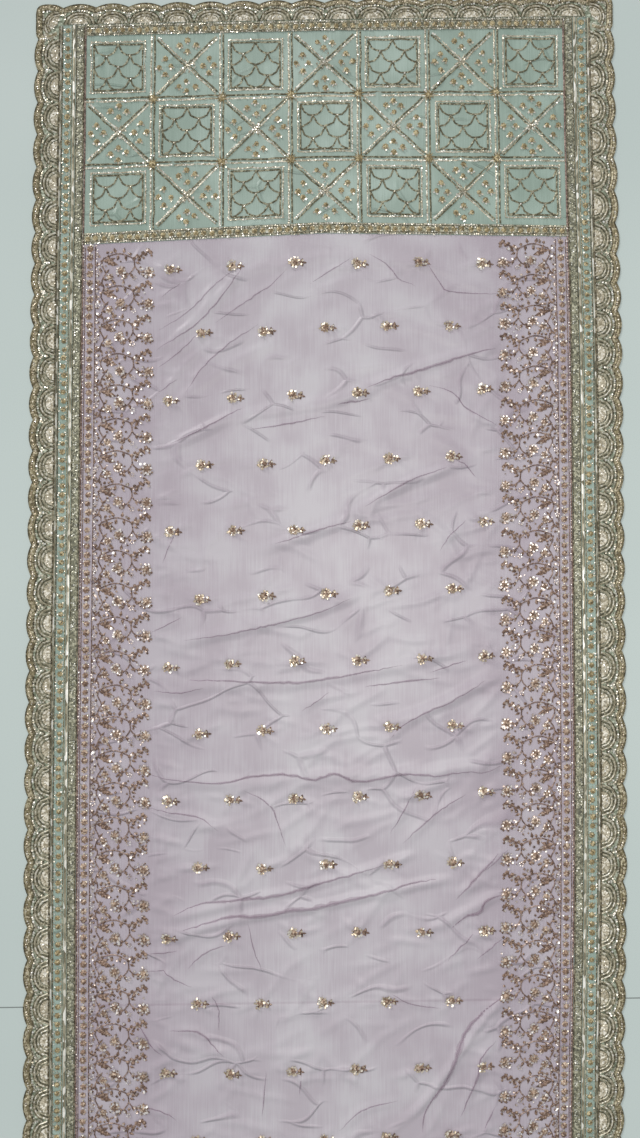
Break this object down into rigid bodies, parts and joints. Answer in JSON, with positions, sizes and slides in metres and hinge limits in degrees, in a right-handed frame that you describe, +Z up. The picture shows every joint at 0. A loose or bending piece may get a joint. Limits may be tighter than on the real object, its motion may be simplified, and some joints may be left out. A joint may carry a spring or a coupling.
{
  "type": "net saree",
  "caption": "Long sheer net saree laid out flat, with a checked decorated pallu at one end, mint side borders and a scalloped corded edging.",
  "frame": {"origin": "on the surface the saree lies on, under the middle of its length and width", "axes": "+X across the cloth, +Y along its length towards the pallu end, +Z up"},
  "size_m": [1.137, 5.5129, 0.0102],
  "materials": {
    "lilac_net": "fine sheer nylon net, soft satin sheen",
    "mint_net": "fine sheer nylon net in mint",
    "scallop_edging": "dense cord and metallic thread embroidery with sequins",
    "sequin_lace": "narrow lace packed with small sequins and metallic thread",
    "zari_tape": "flat metallic woven tape, satin"
  },
  "bodies": {
    "root": {"field_net": "lilac_net", "pallu_panel": "mint_net", "pallu_lace_end": "sequin_lace", "pallu_lace_seam": "sequin_lace", "edging_end": "scallop_edging", "edging_left": "scallop_edging", "edging_right": "scallop_edging", "border_left": "mint_net", "border_right": "mint_net", "tape_left": "zari_tape", "tape_right": "zari_tape", "lace_left": "sequin_lace", "lace_right": "sequin_lace"}
  },
  "joints": []
}
